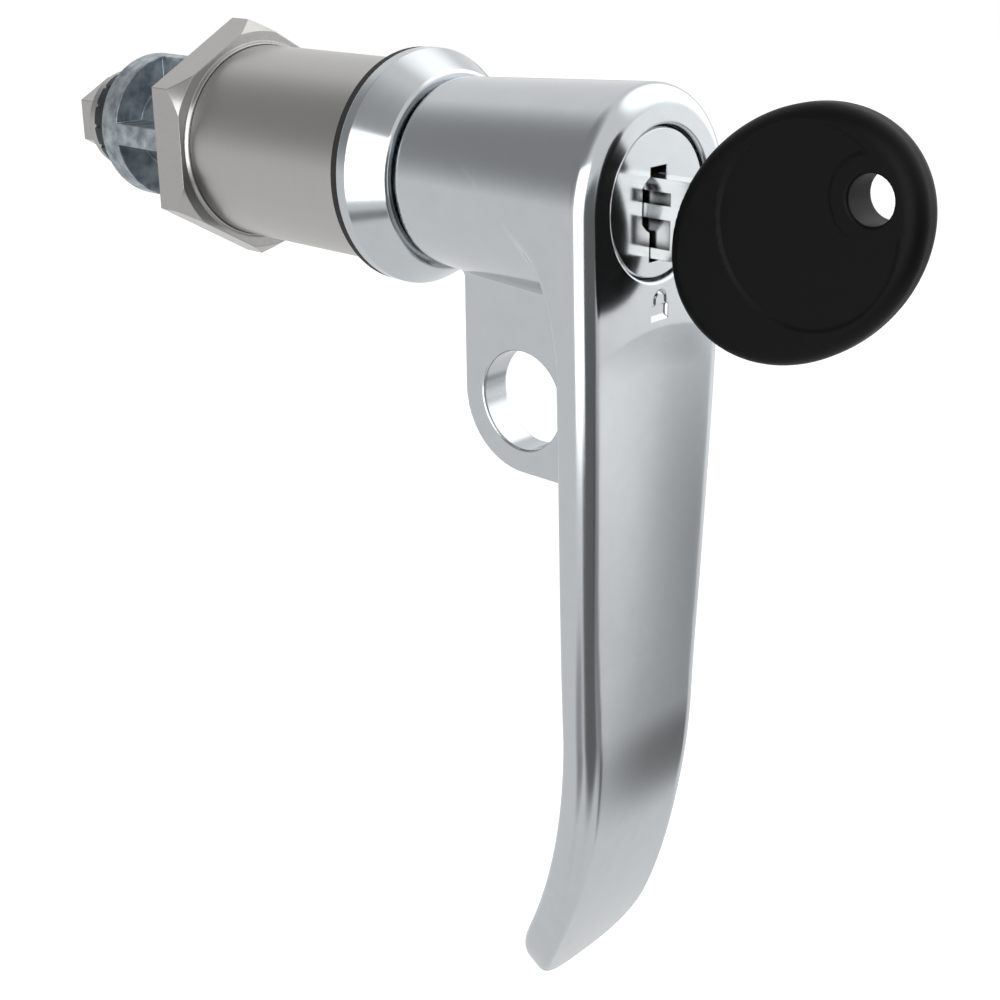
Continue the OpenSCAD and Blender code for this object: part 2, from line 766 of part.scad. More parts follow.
module lock_bolt() {
    pin_r = eccentric_d / 2;
    lead = 0.22 * bolt_throw;
    color(steel) difference() {
        intersection() {
            block([-bolt_back, bolt_y - bolt_t / 2, -bolt_w / 2],
                  [spigot_r, bolt_y + bolt_t / 2, bolt_w / 2]);
            bar(spigot_r - free, bolt_y - bolt_t, bolt_y + bolt_t);
        }
        block([-pin_r - loose, bolt_y - bolt_t, -pin_r - free],
              [pin_r + lead + loose, bolt_y + bolt_t, bolt_throw + pin_r + free]);
    }
}

// Key

// Milled blade: two grooves on its left, one on its right, a bevelled tip and cuts for the wafers.
// Each groove is given by its lower and upper edge, measured from the blade's lower edge.
module key_blade() {
    half = blade_t / 2;
    tip = 1.6;
    groove_y = face_y - bow_gap + loose;
    cut_r = 0.8;
    cut_step = 0.2;
    color(steel) difference() {
        rotate([90, 0, 90]) linear_extrude(height = blade_t, center = true)
            polygon([[bow_root_y, blade_low], [blade_tip_y - tip, blade_low],
                     [blade_tip_y, blade_low + tip], [blade_tip_y, blade_top - tip],
                     [blade_tip_y - tip, blade_top], [bow_root_y, blade_top]]);
        for (edge = [[1.05, 3.9], [5.25, 6.5]])
            block([-half - cut, groove_y, blade_low + edge[0]],
                  [-half + blade_groove, 0, blade_low + edge[1]]);
        block([half - blade_groove, groove_y, blade_low + 4.1], [half + cut, 0, blade_low + 5.1]);
        for (i = [0 : wafer_count - 1])
            cross_bar(cut_r, wafer_y + wafer_t / 2 + i * wafer_pitch, blade_top + cut_step * (i % 3),
                      -blade_t, blade_t);
    }
}

// Oval bow with a rounded rim; layers run through its thickness
bow_rim_r = 1.7;
bow_points = 56;
function bow_outline(inset, x) = [for (i = [0 : bow_points - 1])
    let (a = 360 * i / bow_points, u = (bow_a - inset) * cos(a), v = (bow_b - inset) * sin(a))
    [x, bow_y + u * cos(bow_tilt) + v * sin(bow_tilt), bow_z - u * sin(bow_tilt) + v * cos(bow_tilt)]];

module bow_solid() {
    flat = bow_t / 2 - bow_rim_r;
    loft(concat(
        [for (a = [-90 : 18 : 0]) bow_outline(bow_rim_r * (1 - cos(a)), -flat + bow_rim_r * sin(a))],
        [for (a = [0 : 18 : 90]) bow_outline(bow_rim_r * (1 - cos(a)), flat + bow_rim_r * sin(a))]));
}

module key_bow() {
    hole_u = bow_a - ring_hole_edge;
    hole_y = bow_y - hole_u * cos(ring_hole_tilt);
    hole_z = bow_z + hole_u * sin(ring_hole_tilt);
    rim_w = 1.8;
    sink_r = bow_b - rim_w;
    sink_u = 2.4;
    sink_y = bow_y - sink_u * cos(bow_tilt);
    sink_z = bow_z + sink_u * sin(bow_tilt);
    land_r = ring_hole_d / 2 + rim_w;
    color(black) difference() {
        bow_solid();
        cross_bar(ring_hole_d / 2, hole_y, hole_z, -bow_t, bow_t);
        block([-blade_t / 2 - still, bow_root_y - still, blade_low - still],
              [blade_t / 2 + still, face_y, blade_top + still]);
        for (side = [-1, 1]) translate([side * (bow_t / 2 - bow_sink / 2 + cut), 0, 0]) difference() {
            cross_bar(sink_r, sink_y, sink_z, -bow_sink / 2 - cut, bow_sink / 2 + cut);
            cross_bar(land_r, hole_y, hole_z, -bow_t, bow_t);
        }
    }
}

threaded_sleeve();
escutcheon_flange();
flange_gasket();
mounting_nut();
keeper_ring();
front_bush();
rear_bush();
stop_pin();
thrust_washer();
handle();
spindle();
spindle_pin();
o_ring_seal();
lock_barrel();
barrel_retainer();
cam_driver();
cam_spacer();
lock_washer();
flat_washer();
hex_screw();
lock_plug();
tumbler_wafers();
plug_clip();
tail_shaft();
lock_bolt();
key_blade();
key_bow();
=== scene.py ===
"""Looks of a quarter-turn latch with a locking L-handle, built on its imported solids.
Metres in the scene, millimetres in the sizes; -Y is in front of the door, +Z is up."""
import json
import math

import bpy
import numpy as np
from mathutils import Matrix, Vector

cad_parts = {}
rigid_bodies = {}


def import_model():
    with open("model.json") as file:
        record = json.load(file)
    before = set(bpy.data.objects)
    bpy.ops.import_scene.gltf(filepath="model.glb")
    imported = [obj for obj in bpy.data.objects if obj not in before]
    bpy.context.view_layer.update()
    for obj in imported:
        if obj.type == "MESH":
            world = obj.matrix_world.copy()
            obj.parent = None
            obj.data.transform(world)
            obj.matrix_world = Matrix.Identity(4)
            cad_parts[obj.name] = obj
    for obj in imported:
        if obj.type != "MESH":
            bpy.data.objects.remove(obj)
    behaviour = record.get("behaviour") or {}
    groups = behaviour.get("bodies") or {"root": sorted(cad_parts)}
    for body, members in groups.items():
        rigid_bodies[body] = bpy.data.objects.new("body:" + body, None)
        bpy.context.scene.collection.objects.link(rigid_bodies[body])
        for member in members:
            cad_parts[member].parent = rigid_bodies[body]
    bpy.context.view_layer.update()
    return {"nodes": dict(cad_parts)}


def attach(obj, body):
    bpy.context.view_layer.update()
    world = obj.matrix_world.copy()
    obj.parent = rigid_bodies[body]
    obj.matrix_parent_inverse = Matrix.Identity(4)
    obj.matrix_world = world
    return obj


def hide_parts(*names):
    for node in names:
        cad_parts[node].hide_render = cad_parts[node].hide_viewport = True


for leftover in list(bpy.data.objects):
    bpy.data.objects.remove(leftover)
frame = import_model()
MM = 0.001


# Threaded sleeve: the round housing that goes through the door.
# Turned from steel bar and nickel plated; the nut and flange clamp the door between them.
def colour(code):
    """Linear colour of an sRGB hex value such as #c8c2ba."""
    shares = [int(code[i:i + 2], 16) / 255 for i in (1, 3, 5)]
    return [c / 12.92 if c <= 0.04045 else ((c + 0.055) / 1.055) ** 2.4 for c in shares] + [1.0]


def add(tree, kind, settings, sockets):
    """Adds a node, sets its properties, and fills each socket with a value or a link."""
    node = tree.nodes.new(kind)
    for key, value in settings.items():
        setattr(node, key, value)
    for key, value in sockets.items():
        if isinstance(value, bpy.types.NodeSocket):
            tree.links.new(value, node.inputs[key])
        else:
            node.inputs[key].default_value = value
    return node


def finish(name, pale, dark, drift, metallic, grain, bump_mm, rough, stretch=(1, 1, 1), edge=0.0,
           painted_shade=0.0, sockets=None):
    """Material whose colour and roughness run between two values over a grain of that size in
    millimetres, with a fine bump of the same grain. A small drift makes the change abrupt, and
    stretch draws the grain out along an axis. edge is the radius in millimetres to which sharp edges
    have been broken. A reach for painted shade, in millimetres, lets ambient occlusion darken the
    colour in corners and grooves within that distance."""
    material = bpy.data.materials.new(name)
    material.use_nodes = True
    tree = material.node_tree
    tree.nodes.clear()
    place = add(tree, "ShaderNodeTexCoord", {}, {})
    drawn = add(tree, "ShaderNodeVectorMath", {"operation": "MULTIPLY"},
                {0: place.outputs["Object"], 1: [1 / (grain * MM * s) for s in stretch]})
    noise = add(tree, "ShaderNodeTexNoise", {}, {"Vector": drawn.outputs[0], "Scale": 1.0, "Detail": 3.0})
    middle = 0.5
    share = add(tree, "ShaderNodeMapRange", {}, {
        "Value": noise.outputs["Fac"], "From Min": middle - drift, "From Max": middle + drift})
    tint = add(tree, "ShaderNodeMix", {"data_type": "RGBA"}, {
        0: share.outputs["Result"], 6: colour(dark), 7: colour(pale)})
    base = tint.outputs[2]
    # Painted shade: ambient occlusion darkens the colour in corners and grooves.
    if painted_shade:
        deep, open_face, darkest = 0.78, 1.0, 0.25
        hidden = add(tree, "ShaderNodeAmbientOcclusion", {"samples": 8, "only_local": True}, {
            "Distance": painted_shade * MM})
        unshaded_share = add(tree, "ShaderNodeMapRange", {}, {
            "Value": hidden.outputs["AO"], "From Min": deep, "From Max": open_face, "To Min": darkest})
        base = add(tree, "ShaderNodeMix", {"data_type": "RGBA", "blend_type": "MULTIPLY"}, {
            0: 1.0, 6: base, 7: unshaded_share.outputs["Result"]}).outputs[2]
    gloss = add(tree, "ShaderNodeMapRange", {}, {
        "Value": share.outputs["Result"], "To Min": rough[1], "To Max": rough[0]})
    broken = add(tree, "ShaderNodeBevel", {"samples": 6}, {"Radius": edge * MM})
    relief = add(tree, "ShaderNodeBump", {}, {
        "Strength": 1.0, "Distance": bump_mm * MM, "Height": noise.outputs["Fac"],
        "Normal": broken.outputs["Normal"]})
    shader = add(tree, "ShaderNodeBsdfPrincipled", {}, {
        "Base Color": base, "Metallic": metallic, "Roughness": gloss.outputs["Result"],
        "Normal": relief.outputs["Normal"], **(sockets or {})})
    add(tree, "ShaderNodeOutputMaterial", {}, {"Surface": shader.outputs[0]})
    return material


def dress(node, material):
    """Gives a solid its material."""
    frame["nodes"][node].material_slots[0].material = material


# Nickel plate over turned steel: warm grey, satin, with fine rings round the axis.
satin_nickel = finish("satin nickel plate, turned", "#b2b1af", "#b0afad", 0.25, 1.0, 0.35, 0.00002,
                      (0.29, 0.31), stretch=(14, 1, 14), edge=0.12)
dress("threaded_sleeve", satin_nickel)

# Bushes, keeper ring and stop: the bearings pressed into the sleeve, the ring with two
# notches for the lock bolt, and the pin that ends the quarter turn.
# Sintered bronze: dull gold with dark pores.
sintered_bronze = finish("sintered bronze", "#b08a52", "#8a693c", 0.2, 1.0, 0.4, 0.006, (0.42, 0.6))
# Ground steel: cool grey with short grinding marks along the axis.
ground_steel = finish("ground steel", "#b4b6b8", "#9a9da0", 0.25, 1.0, 0.25, 0.002, (0.22, 0.36),
                      stretch=(1, 10, 1))
# Acetal: natural white, moulded, with a faint waxy sheen.
moulded_acetal = finish("acetal, moulded", "#e6e3da", "#dad6cb", 0.3, 0.0, 1.2, 0.004, (0.38, 0.5))
for node in ("front_bush", "rear_bush", "tumbler_wafers"):
    dress(node, sintered_bronze)
for node in ("keeper_ring", "stop_pin"):
    dress(node, ground_steel)
dress("thrust_washer", moulded_acetal)

# Flange: the bevelled ring that hides the edge of the hole.
# Die-cast zinc, polished and chrome plated, pressed on the sleeve.
# Chrome plate: cool mirror with the faintest haze left by polishing.
polished_chrome = finish("polished chrome plate", "#c3c7ca", "#bfc3c6", 0.3, 1.0, 2.2, 0.0002, (0.13, 0.16),
                         edge=0.15)
dress("escutcheon_flange", polished_chrome)

# Gasket: flat seal between flange and door, punched from rubber sheet.
# Nitrile rubber: near black and matt, with a fine dusty grain.
punched_rubber = finish("nitrile rubber, punched", "#1c1c1c", "#101010", 0.25, 0.0, 0.3, 0.01, (0.62, 0.8))
dress("flange_gasket", punched_rubber)

# Nut: thin hexagon nut that clamps the sleeve from behind the door.
# Sawn from nickel-plated steel bar, so the flats carry lines along the axis.
drawn_nickel = finish("satin nickel plate, drawn bar", "#adacaa", "#aaa9a7", 0.25, 1.0, 0.3, 0.00002,
                      (0.20, 0.23), stretch=(1, 9, 1), edge=0.16)
dress("mounting_nut", drawn_nickel)


# Handle: one casting with the conical barrel, the curved grip, the padlock eye and the spigot
# that turns in the sleeve. Zinc alloy, die-cast, ground, polished and chrome plated.
HEAD_Y, BARREL_Y, BARREL_R, DRAFT = -33.05, -6.3, 9.87, 0.0575
HEAD_R = BARREL_R + DRAFT * (BARREL_Y - HEAD_Y)
GRIP_STRAIGHT, BEND_R, GRIP_LEN = 55.4, 70.0, 91.9
LEAN_FROM, LEAN = 14, 0.0155
RECESS_TOP, RECESS_ARCH, RECESS_DEPTH, RECESS_LEN = 12.2, 1.6, 1.2, 62
TIP_CAP, TIP_POWER = 8, 2.8
EYE_Y, EYE_Z, EYE_R, EYE_OUTER_R, WEB_HALF = -16.4, -22.8, 5.37, 8.1, 1.83
FRONT_EDGE_R = 2.1


def rounded_edge(a, b, r):
    """Where two faces meet outwards: the common part of both sides, its edge rounded to r."""
    return np.minimum(np.maximum(a, b), -r) + np.hypot(np.maximum(a + r, 0), np.maximum(b + r, 0))


def filleted_corner(a, b, r):
    """Where two faces meet inwards: both together, with a fillet of radius r in the corner."""
    return np.maximum(np.minimum(a, b), r) - np.hypot(np.maximum(r - a, 0), np.maximum(r - b, 0))


def ease(t):
    """Smooth rise from 0 to 1 as t goes from 0 to 1."""
    t = np.clip(t, 0, 1)
    return t * t * (3 - 2 * t)


def along_grip(y, z):
    """Distance down the front face from the axis, and depth behind that face."""
    run = (GRIP_STRAIGHT - LEAN_FROM) * LEAN
    front = HEAD_Y + run * ease((-z - LEAN_FROM) / (GRIP_STRAIGHT - LEAN_FROM))
    down, back = HEAD_Y + run + BEND_R - y, -z - GRIP_STRAIGHT
    bent = z < -GRIP_STRAIGHT
    return (np.where(bent, GRIP_STRAIGHT + BEND_R * np.arctan2(back, down), -z),
            np.where(bent, BEND_R - np.hypot(down, back), y - front))


def dip(t):
    """Rise from 0 to 1 that is steep at first and level at the end."""
    return 1 - (1 - np.clip(t, 0, 1)) ** 2


def thumb_recess(s, x, half):
    """Depth of the front, scooped out below an arched edge and running out down the grip."""
    steep, steep_len, dish_len = 0.45, 4.5, 25
    arch_soft, rim_soft = 0.01, 0.0144
    share = (x / half) ** 2
    down = s - RECESS_TOP - RECESS_ARCH * share
    down = (down + np.sqrt(down ** 2 + arch_soft)) / 2
    scoop = steep * dip(down / steep_len) + (1 - steep) * dip(down / dish_len)
    rim = (1 - share + np.sqrt((1 - share) ** 2 + rim_soft)) / 2
    return RECESS_DEPTH * scoop * rim * np.clip(1 - (s - RECESS_TOP) / RECESS_LEN, 0, 1)


def padlock_sign(x, z):
    """Depth of the plain padlock sign pressed into the front below the lock."""
    half_w, top, foot, depth = 1.3, -9.85, -11.41, 0.28
    side_slope, top_slope, foot_slope = 2.2, 4, 0.6
    bow_z, bow_r, bow_half = -9.35, 0.84, 0.2
    body = np.maximum(np.maximum((np.abs(x) - half_w) * side_slope, (z - top) * top_slope),
                      (foot - z) * foot_slope)
    bow = np.where(z > bow_z, np.hypot(x, z - bow_z), np.abs(x))
    bow = np.maximum(np.abs(bow - bow_r) - bow_half, top - z)
    return np.clip(np.maximum(-body, -bow), 0, depth)


def casting(x, y, z):
    """Below zero inside the handle, above zero outside, in millimetres."""
    s, v = along_grip(y, z)
    radius = np.hypot(x, z)
    cone = radius - (BARREL_R + DRAFT * (BARREL_Y - y))
    narrowing, narrowing_power = 3.2, 1.25
    half = HEAD_R - narrowing * np.clip(s / GRIP_LEN, 0, None) ** narrowing_power - DRAFT * v
    across, past = np.abs(x) / half, np.clip(s - GRIP_LEN + TIP_CAP, 0, None) / TIP_CAP
    reach = np.maximum((across ** TIP_POWER + past ** TIP_POWER) ** (1 / TIP_POWER), 1e-6)
    sideways = (across / reach) ** (TIP_POWER - 1) / half
    endways = (past / reach) ** (TIP_POWER - 1) / TIP_CAP
    slant = np.hypot(sideways, endways)
    flank = (reach - 1) / np.maximum(slant, 1e-3)
    side = np.where(z > 0, cone, flank)
    front = thumb_recess(s, x, half - FRONT_EDGE_R) + padlock_sign(x, z) - v
    neck_t, middle_t, tip_t = 4.5, 3.9, 4.7
    thick = np.where(s < GRIP_STRAIGHT, neck_t + (middle_t - neck_t) * s / GRIP_STRAIGHT,
                     middle_t + (tip_t - middle_t) * (s - GRIP_STRAIGHT) / (GRIP_LEN - GRIP_STRAIGHT))
    throat_end, throat_r = 16, 24
    rear = np.where(s < throat_end, throat_r - np.hypot(v - thick - throat_r, s - throat_end), v - thick)

    # The front edge is fullest halfway down and sharp along the tail. The rear edge is a crease at
    # the neck and grows rounder with the distance from the axis and towards the tip.
    at_tail, at_tip = ease((s - 60) / 30), endways / np.maximum(slant, 1e-3)
    front_r = FRONT_EDGE_R + 0.3 * ease((s - 40) / 15) - 1.9 * ease((s - 66) / 24) + 1.2 * at_tip
    body = rounded_edge(side, front, front_r)
    neck_r = np.clip(0.04 * np.minimum(z, 0) ** 2, 0.02, 0.8)
    throat_fillet, barrel_edge_r = 1.8, 0.8
    body = rounded_edge(body, filleted_corner(cone, rear, throat_fillet), neck_r + (0.5 + at_tip) * at_tail)
    body = rounded_edge(body, y - BARREL_Y, barrel_edge_r)

    # Web with the padlock eye: a plate with one round corner, from the barrel to behind the grip.
    behind, below = y - EYE_Y, EYE_Z - z
    plate = (np.hypot(np.maximum(behind, 0), np.maximum(below, 0))
             + np.minimum(np.maximum(behind, below), 0) - EYE_OUTER_R)
    web_front, web_top = -30.05, -7.9
    plate = np.maximum(np.maximum(plate, web_front - y), z - web_top)
    web_edge_r, web_fillet, eye_edge_r = 0.35, 0.8, 0.3
    web = rounded_edge(plate, np.abs(x) - WEB_HALF, web_edge_r)
    body = filleted_corner(body, web, web_fillet)
    body = rounded_edge(body, EYE_R - np.hypot(y - EYE_Y, z - EYE_Z), eye_edge_r)

    # Spigot behind the barrel, then the seat of the lock, whose front edge is rolled in.
    spigot_r, spigot_start, spigot_end = 8.4, -6.8, 13.4
    body = np.minimum(body, np.maximum(np.maximum(radius - spigot_r, y - spigot_end), spigot_start - y))
    seat_r, seat_end, lip, lip_start, seat_edge_r = 7.8, -12.2, 0.3, -32.2, 0.32
    seat = radius - seat_r + lip * ease((lip_start - y) / lip)
    body = rounded_edge(body, -np.maximum(seat, y - seat_end), seat_edge_r)

    # Stepped bore for the clip, tail shaft and spindle: radius, start and end.
    for bore, start, stop in ((7.3, -12.7, -9.8), (4.6, -12.3, 4.5), (5.05, 4.49, 14)):
        body = np.maximum(body, -np.maximum(radius - bore, np.maximum(start - y, y - stop)))
    # Seal groove, slot of the lock bolt, quarter-turn cut for the stop pin, cross-pin hole and the
    # pocket of the spring plate.
    groove = np.maximum(7.8 - radius, np.abs(y + 3.2) - 0.9)
    slot = np.maximum(np.maximum(-3.7 - x, np.abs(y - 0.2) - 1.45), np.abs(z) - 3.25)
    sweep = np.maximum(np.maximum(7.0 - radius, np.abs(y - 6.45) - 1.3),
                       np.maximum(-1.4 - x, -1.4 - z))
    pin = np.hypot(y - 11.1, z) - 1.05
    pocket = np.maximum(np.maximum(np.abs(x) - 1.55, np.abs(y + 15.5) - 0.75), np.abs(z - 7.2) - 1.5)
    for hollow in (groove, slot, sweep, pin, pocket):
        body = np.maximum(body, -hollow)
    return body


def skin(name, solid, low, high, step, fine=()):
    """Mesh over a solid given by a function that is below zero inside it. Each crossed cell of a
    grid gets one point, which is then moved onto the surface; normals come from the solid itself.
    fine lists boxes by their corners and the number of parts that each side of a face is split into."""
    axes = [np.arange(a, b + step, step) for a, b in zip(low, high)]
    value = np.empty([len(a) for a in axes])
    for k, z in enumerate(axes[2]):
        value[:, :, k] = solid(axes[0][:, None], axes[1][None, :], z)
    inside = value < 0
    shape = [n - 1 for n in value.shape]
    total, count = np.zeros(shape + [3]), np.zeros(shape)
    corners = [(a, b, c) for a in (0, 1) for b in (0, 1) for c in (0, 1)]

    def at(grid, c):
        return grid[c[0]:c[0] + shape[0], c[1]:c[1] + shape[1], c[2]:c[2] + shape[2]]

    for first in corners:
        for axis in range(3):
            if first[axis]:
                continue
            second = tuple(f + (i == axis) for i, f in enumerate(first))
            crossed = at(inside, first) != at(inside, second)
            a, b = at(value, first)[crossed], at(value, second)[crossed]
            point = np.tile(np.array(first, float), (len(a), 1))
            point[:, axis] = a / (a - b)
            total[crossed] += point
            count[crossed] += 1
    used = count > 0
    number = np.full(shape, -1)
    number[used] = np.arange(used.sum())
    points = np.array([axes[i][c] for i, c in enumerate(np.nonzero(used))]).T
    points = points + step * total[used] / count[used][:, None]

    quads = []
    for axis in range(3):
        one, two = [(1, 2), (2, 0), (0, 1)][axis]
        low_side = [slice(1, n) if i != axis else slice(0, n) for i, n in enumerate(shape)]
        next_side = [s if i != axis else slice(1, s.stop + 1) for i, s in enumerate(low_side)]
        here, there = inside[tuple(low_side)], inside[tuple(next_side)]
        for mask, order in ((here & ~there, 1), (~here & there, -1)):
            spot = np.array(np.nonzero(mask)).T
            spot[:, [one, two]] += 1
            ring = []
            for da, db in ((1, 1), (0, 1), (0, 0), (1, 0)):
                cell = spot.copy()
                cell[:, one] -= da
                cell[:, two] -= db
                ring.append(number[tuple(cell.T)])
            quads.append(np.array(ring[::order]).T)
    quads = np.concatenate(quads)

    for bottom, top, parts in fine:
        split = ((points > bottom) & (points < top)).all(1)[quads].all(1)
        n = parts + 1
        a, b = np.meshgrid(np.linspace(0, 1, n), np.linspace(0, 1, n), indexing="ij")
        weight = np.stack([(1 - a) * (1 - b), a * (1 - b), a * b, (1 - a) * b], -1).reshape(-1, 4)
        extra = np.einsum("ij,qjc->qic", weight, points[quads[split]]).reshape(-1, 3)
        cell = np.array([[i, i + n, i + n + 1, i + 1] for i in range(n * parts) if i % n < parts])
        first = len(points) + n * n * np.arange(split.sum())
        quads = np.concatenate([quads[~split], (first[:, None, None] + cell).reshape(-1, 4)])
        kept, quads = np.unique(quads, return_inverse=True)
        points, quads = np.concatenate([points, extra])[kept], quads.reshape(-1, 4)

    def slope(p, h=0.02):
        moves = np.eye(3) * h
        return np.array([solid(*(p + m).T) - solid(*(p - m).T) for m in moves]).T / (2 * h)

    for _ in range(5):
        g = slope(points)
        shift = solid(*points.T)[:, None] * g / np.maximum((g * g).sum(1), 0.05)[:, None]
        points -= np.clip(shift, -step / 2, step / 2)
    normals = slope(points)
    normals /= np.maximum(np.linalg.norm(normals, axis=1), 1e-6)[:, None]

    mesh = bpy.data.meshes.new(name)
    mesh.from_pydata((points * MM).tolist(), [], quads.tolist())
    mesh.shade_smooth()
    mesh.normals_split_custom_set_from_vertices(normals.tolist())
    piece = bpy.data.objects.new(name, mesh)
    bpy.context.scene.collection.objects.link(piece)
    return piece


handle_casting = skin("handle_casting", casting, (-12, -34, -91.5), (12, 14.2, 12), 0.32,
                      fine=[((-1.9, -34, -12), (1.9, -32.5, -8.05), 8),
                            ((-9, -34, -8.05), (9, -32, 9), 3),
                            ((-2.3, -23, -29.5), (2.3, -9.8, -16), 3)])
handle_casting.data.materials.append(polished_chrome)
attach(handle_casting, "handle")
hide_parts("handle")

# O-ring: moulded rubber ring that keeps water out of the housing.
dress("o_ring_seal", punched_rubber)

# Lock: barrel with its retaining plate, plug with wafers, clip, tail shaft and sliding bolt.
# Barrel and plug are turned, and the plug is polished and chrome plated like the handle.
dress("lock_plug", polished_chrome)
# Zinc left dull from casting, its mid grey made darker as painted shade, so the ring between the bright
# disc and the casting reads like the shadowed gap.
dull_zinc_painted_shade = finish("die-cast zinc, dull, painted shade", "#8e9294", "#7e8284", 0.25, 0.9, 0.8, 0.004, (0.4, 0.5))
dress("lock_barrel", dull_zinc_painted_shade)
for node in ("barrel_retainer", "plug_clip", "tail_shaft", "lock_bolt"):
    dress(node, ground_steel)

# Spindle: steel shaft from the handle's spigot to the driver, with its cross pin.
for node in ("spindle", "spindle_pin"):
    dress(node, ground_steel)

# Driver: casting with four ribs that carries the square seat for the cam.
# Bare die-cast zinc: blue-grey, mottled by the cooling metal, darker where it stayed rough.
bare_zinc = finish("die-cast zinc, bare", "#b0b8bb", "#78818a", 0.16, 0.9, 1.5, 0.012, (0.3, 0.42),
                   edge=0.22)
dress("cam_driver", bare_zinc)

# Spacer and toothed washer: black oxide steel in the cam's place.
# Black oxide: dark blue-black and half glossy.
black_oxide = finish("black oxide on steel", "#3a4043", "#2a3032", 0.25, 0.8, 0.6, 0.002, (0.34, 0.42))
for node in ("cam_spacer", "lock_washer"):
    dress(node, black_oxide)

# Flat washer and hexagon screw: nickel-plated steel, they clamp the stack on the spindle.
for node in ("flat_washer", "hex_screw"):
    dress(node, drawn_nickel)

# Key blade: milled from nickel-silver strip, with grooves and cuts for the wafers.
# Nickel silver: bright and slightly warm, with the faint marks of the cutter along the blade, and painted
# shade darkening its grooves and cuts.
milled_blade = finish("nickel silver, milled", "#e4e4e2", "#dedfdd", 0.25, 1.0, 0.25, 0.0001, (0.18, 0.22),
                      stretch=(1, 12, 1), edge=0.08, painted_shade=1.8)
dress("key_blade", milled_blade)


# Key bow: the black oval grip, moulded round the blade, with a sunk middle on both sides
# and a raised land round the hole for a key ring.
def moulding(x, y, z):
    """Below zero inside the bow, above zero outside, in millimetres."""
    tilt, half_len, half_w, half_t = math.radians(36), 14.225, 11.025, 2.075
    dy, dz = y + 48.257, z + 1.005
    u, w = dy * math.cos(tilt) - dz * math.sin(tilt), dy * math.sin(tilt) + dz * math.cos(tilt)
    k = np.hypot(u / half_len, w / half_w)
    rim = k * (k - 1) / np.maximum(np.hypot(u / half_len ** 2, w / half_w ** 2), 1e-6)
    ring_r, land_r, sunk_r, sunk_depth, sunk_wall = 2.26, 4.06, 9.225, 0.2, 0.45
    ring = np.hypot(y + 56.597, z - 3.618)
    sunk = np.maximum(np.hypot(y + 50.199, z - 0.406) - sunk_r, land_r - ring)
    face = np.abs(x) - half_t + sunk_depth * ease(0.5 - sunk / sunk_wall)
    rim_edge_r, ring_edge_r = 1.7, 0.3
    body = rounded_edge(rim, face, rim_edge_r)
    body = rounded_edge(body, ring_r - ring, ring_edge_r)
    slot = np.maximum(np.maximum(np.abs(x) - 1.2, -43.68 - y), np.abs(z + 1.245) - 3.935)
    return np.maximum(body, -slot)


bow_moulding = skin("bow_moulding", moulding, (-2.6, -62.5, -14.5), (2.6, -33.5, 12.5), 0.24)
# Glass-filled nylon: black, satin, with the fine grain of a spark-eroded mould.
moulded_nylon = finish("nylon, moulded", "#0c0c0c", "#0a0a0a", 0.3, 0.0, 0.18, 0.003, (0.42, 0.5),
                       sockets={"Specular IOR Level": 0.1})
bow_moulding.data.materials.append(moulded_nylon)
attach(bow_moulding, "key")
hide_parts("key_bow")


# Studio: a pale floor well below the latch, a soft box on either side, a white surround, and
# black and white cards round the latch that give the chrome its dark and bright bands.
def aim(ob, azimuth, elevation, distance):
    """Stands an object round the latch, facing it: azimuth 0 is in front of the door, 90 to the right."""
    side, height = math.radians(azimuth), math.radians(elevation)
    towards = Vector((math.sin(side) * math.cos(height), -math.cos(side) * math.cos(height),
                      math.sin(height)))
    ob.location = Vector((0, -0.02, -0.03)) + towards * distance
    ob.rotation_euler = (-towards).to_track_quat("-Z", "Y").to_euler()
    bpy.context.scene.collection.objects.link(ob)
    ob.visible_camera = False


def width(angle, distance):
    """Width that reaches that many degrees to either side of the middle."""
    return 2 * distance * math.tan(math.radians(angle))


def softbox(name, azimuth, elevation, half_w, half_h, distance, brightness, mirrored=True):
    """Area light that reaches those half angles; mirrored says whether the chrome shows it."""
    light = bpy.data.lights.new(name, "AREA")
    light.shape, light.size, light.size_y = "RECTANGLE", width(half_w, distance), width(half_h, distance)
    light.energy = brightness * math.pi * light.size * light.size_y
    ob = bpy.data.objects.new(name, light)
    ob.visible_glossy = mirrored
    aim(ob, azimuth, elevation, distance)


softbox("softbox_right", 77, 36, 39, 42, 0.8, 2.0, mirrored=False)
softbox("softbox_left", -72.5, 6.5, 27.5, 29.5, 0.7, 2.0)


def card(name, azimuth, elevation, half_w, half_h, core, cover, tone):
    """Soft-edged cloth that only reflections see. core is the share of its size that is not faded,
    cover its density there, and tone its brightness: 0 for black cloth, 1 for a white card."""
    cloth = bpy.data.materials.new("cloth, " + name)
    cloth.use_nodes = True
    tree = cloth.node_tree
    tree.nodes.clear()
    place = add(tree, "ShaderNodeTexCoord", {}, {})
    far = add(tree, "ShaderNodeVectorMath", {"operation": "LENGTH"}, {0: place.outputs["Object"]})
    share = add(tree, "ShaderNodeMapRange", {"interpolation_type": "SMOOTHSTEP"}, {
        "Value": far.outputs["Value"], "From Min": core, "From Max": 1.0, "To Min": cover, "To Max": 0.0})
    clear = add(tree, "ShaderNodeBsdfTransparent", {}, {})
    shade = add(tree, "ShaderNodeEmission", {}, {"Color": (1, 1, 1, 1), "Strength": tone})
    veil = add(tree, "ShaderNodeMixShader", {}, {
        0: share.outputs["Result"], 1: clear.outputs[0], 2: shade.outputs[0]})
    add(tree, "ShaderNodeOutputMaterial", {}, {"Surface": veil.outputs[0]})
    mesh = bpy.data.meshes.new(name)
    mesh.from_pydata([(-1, -1, 0), (1, -1, 0), (1, 1, 0), (-1, 1, 0)], [], [(0, 1, 2, 3)])
    mesh.materials.append(cloth)
    ob = bpy.data.objects.new(name, mesh)
    distance = 0.9
    ob.scale = (width(half_w, distance) / 2, width(half_h, distance) / 2, 1)
    aim(ob, azimuth, elevation, distance)
    ob.visible_diffuse = ob.visible_shadow = ob.visible_transmission = False


